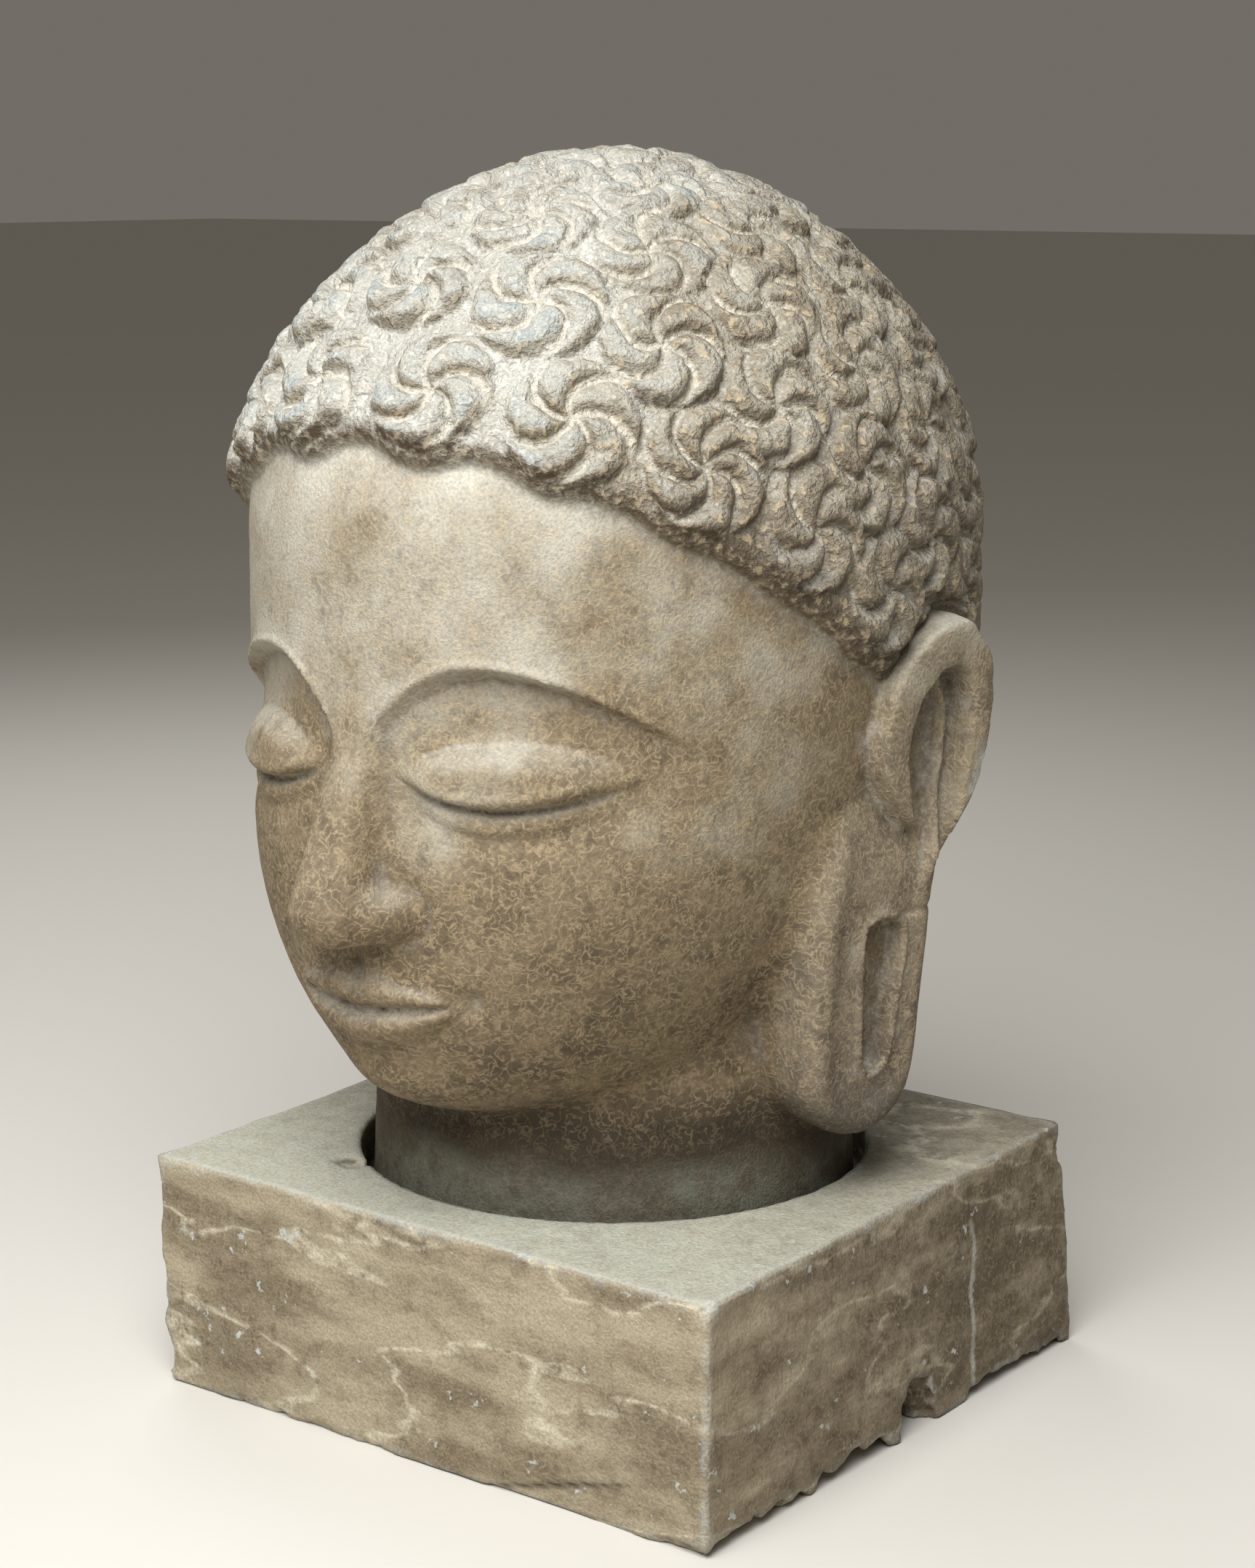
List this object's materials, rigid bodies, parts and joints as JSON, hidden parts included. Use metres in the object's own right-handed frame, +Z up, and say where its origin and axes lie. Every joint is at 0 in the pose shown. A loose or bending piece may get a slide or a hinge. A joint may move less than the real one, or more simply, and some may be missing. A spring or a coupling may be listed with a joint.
{
  "type": "buddha head on plinth",
  "caption": "Monumental stone Buddha head with whorled hair curls, lowered lids and long slit ear lobes, its round neck standing in the socket of a rough squared stone plinth.",
  "frame": {"origin": "centre of the plinth's underside, on the floor it stands on", "axes": "+Z up, the face looks towards -Y, the head's own left is +X"},
  "size_m": [0.6484, 0.7519, 1.0881],
  "materials": {
    "carved_limestone": "weathered, rubbed by hand and dusty in the hollows",
    "rough_limestone": "split sides with veins and chips, top dressed smooth"
  },
  "bodies": {
    "root": {"buddha_head": "carved_limestone", "plinth": "rough_limestone"}
  },
  "joints": []
}
